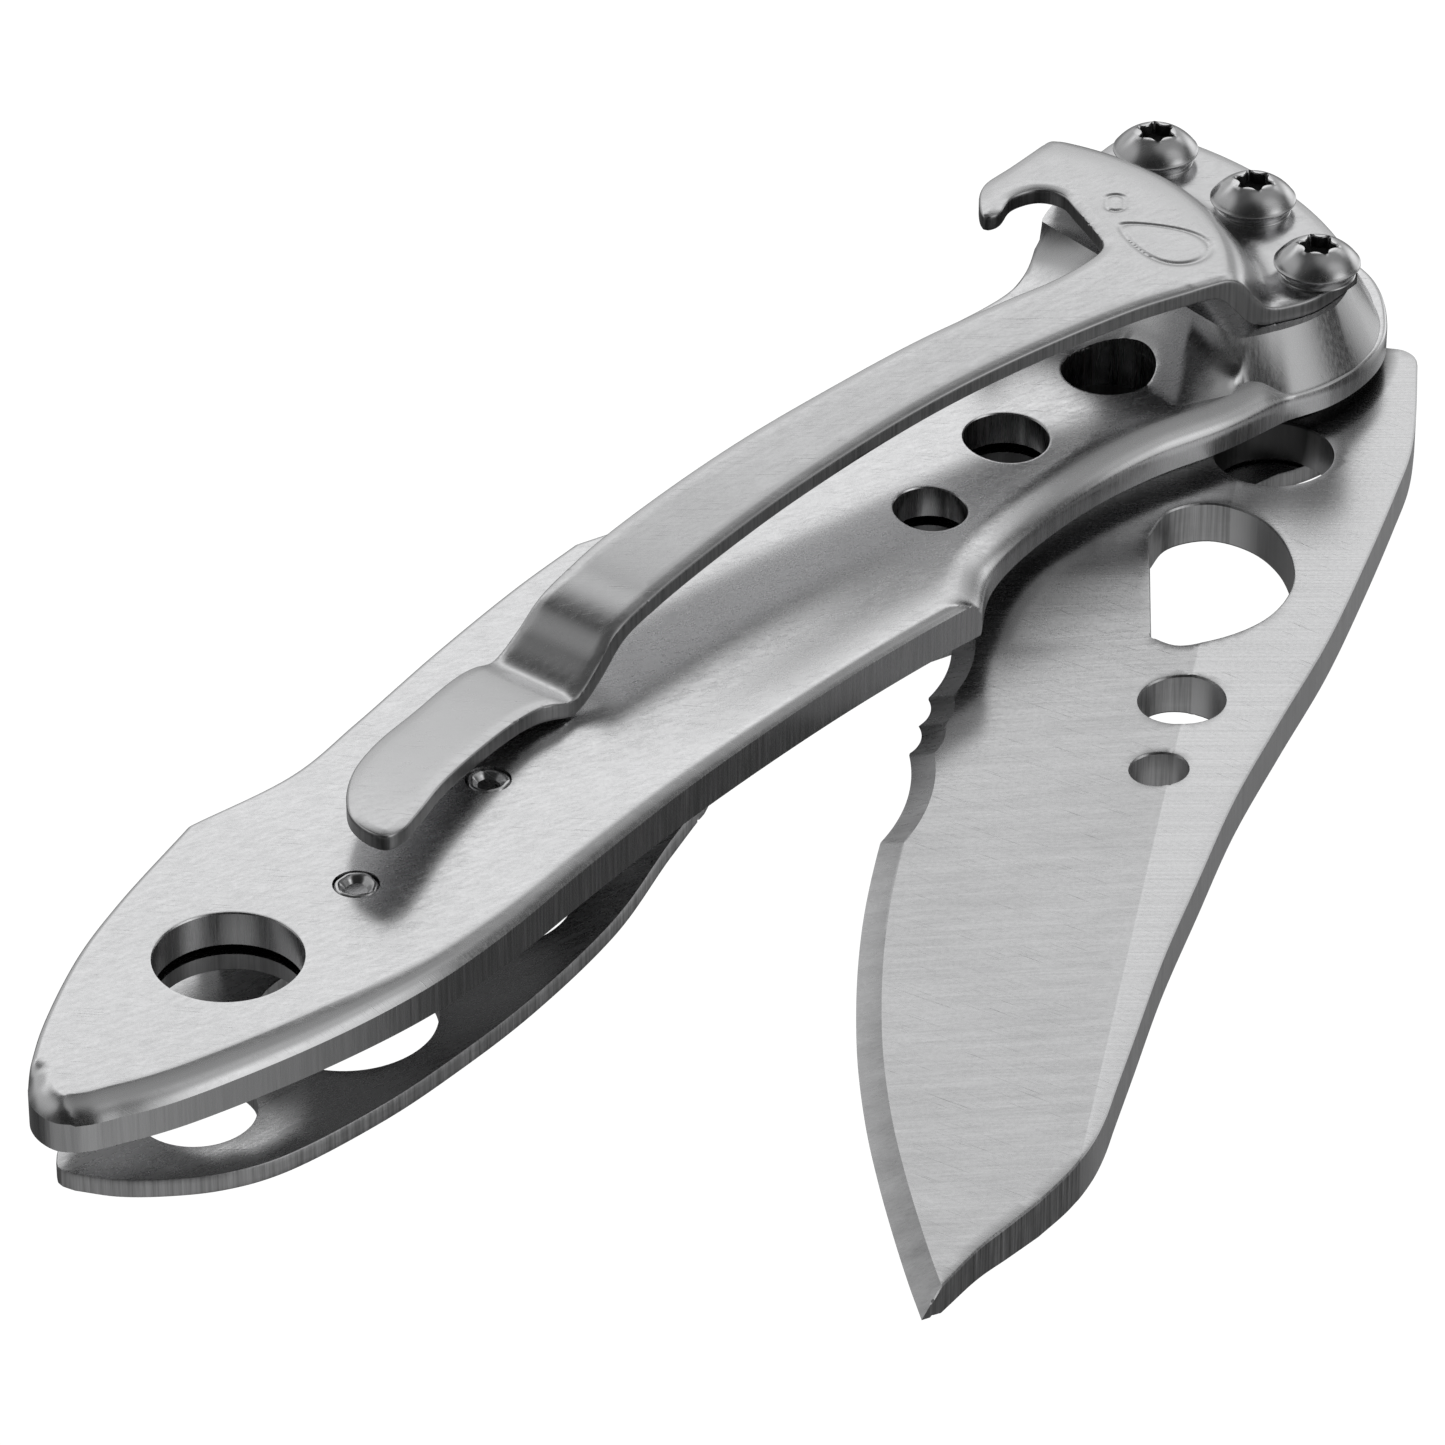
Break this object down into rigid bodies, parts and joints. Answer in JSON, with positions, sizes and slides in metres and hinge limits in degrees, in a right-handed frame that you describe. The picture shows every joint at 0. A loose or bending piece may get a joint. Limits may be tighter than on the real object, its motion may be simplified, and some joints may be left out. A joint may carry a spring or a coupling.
{
  "type": "folding pocket knife",
  "caption": "Folding pocket knife in bare steel with a part-serrated blade, a D-shaped thumb opening, a frame lock and a spring clip whose head is a bottle opener.",
  "frame": {"origin": "axis of the lanyard hole at the top (clip side) face of the front scale", "axes": "+X along the handle from the lanyard hole towards the pivot end, +Y towards the spine side of the handle, where the opener hook is, +Z out of the clip side along the lanyard hole and the pivot"},
  "size_m": [0.0887, 0.0436, 0.0111],
  "materials": {
    "scale_steel": "bead-blasted satin stainless steel, brushed on the boss wall",
    "liner_steel": "dull stamped stainless steel",
    "plate_steel": "satin stainless sheet with sheared edges",
    "blade_steel": "satin flats, grinds brushed across the blade",
    "clip_steel": "bead-blasted satin stainless sheet",
    "hardware_steel": "turned stainless steel",
    "rivet_steel": "staked stainless steel",
    "screw_steel": "polished stainless button head",
    "washer_bronze": "phosphor bronze strip"
  },
  "bodies": {
    "handle": {"front_scale": "scale_steel", "liner": "liner_steel", "back_plate": "plate_steel", "spacer": "liner_steel", "front_washer": "washer_bronze", "rear_washer": "washer_bronze", "pivot_barrel": "hardware_steel", "pivot_screw": "hardware_steel", "stop_pin": "hardware_steel", "clip_head": "clip_steel", "liner_rivet_1": "rivet_steel", "liner_rivet_2": "rivet_steel", "spacer_rivet_1": "rivet_steel", "spacer_rivet_2": "rivet_steel", "clip_screw_1": "screw_steel", "clip_screw_2": "screw_steel", "clip_screw_3": "screw_steel"},
    "blade": {"blade": "blade_steel"},
    "lock": {"lock_bar": "plate_steel", "detent_ball": "hardware_steel"},
    "clip": {"clip_arm": "clip_steel"}
  },
  "joints": [
    {"name": "blade_pivot", "type": "hinge", "parent": "handle", "child": "blade", "pos_m": [0.06775, 0.00087, -0.00405], "axis": [0, 0, 1], "range_deg": [-26, 153.5]},
    {"name": "lock_bar_flex", "type": "hinge", "parent": "handle", "child": "lock", "pos_m": [0.0265, -0.001, -0.00565], "axis": [0, 1, 0], "range_deg": [0, 3], "stiffness_Nm_per_rad": 1},
    {"name": "clip_flex", "type": "hinge", "parent": "handle", "child": "clip", "pos_m": [0.061, -0.0008, 0.0046], "axis": [0, 1, 0], "range_deg": [0, 4], "stiffness_Nm_per_rad": 1}
  ]
}
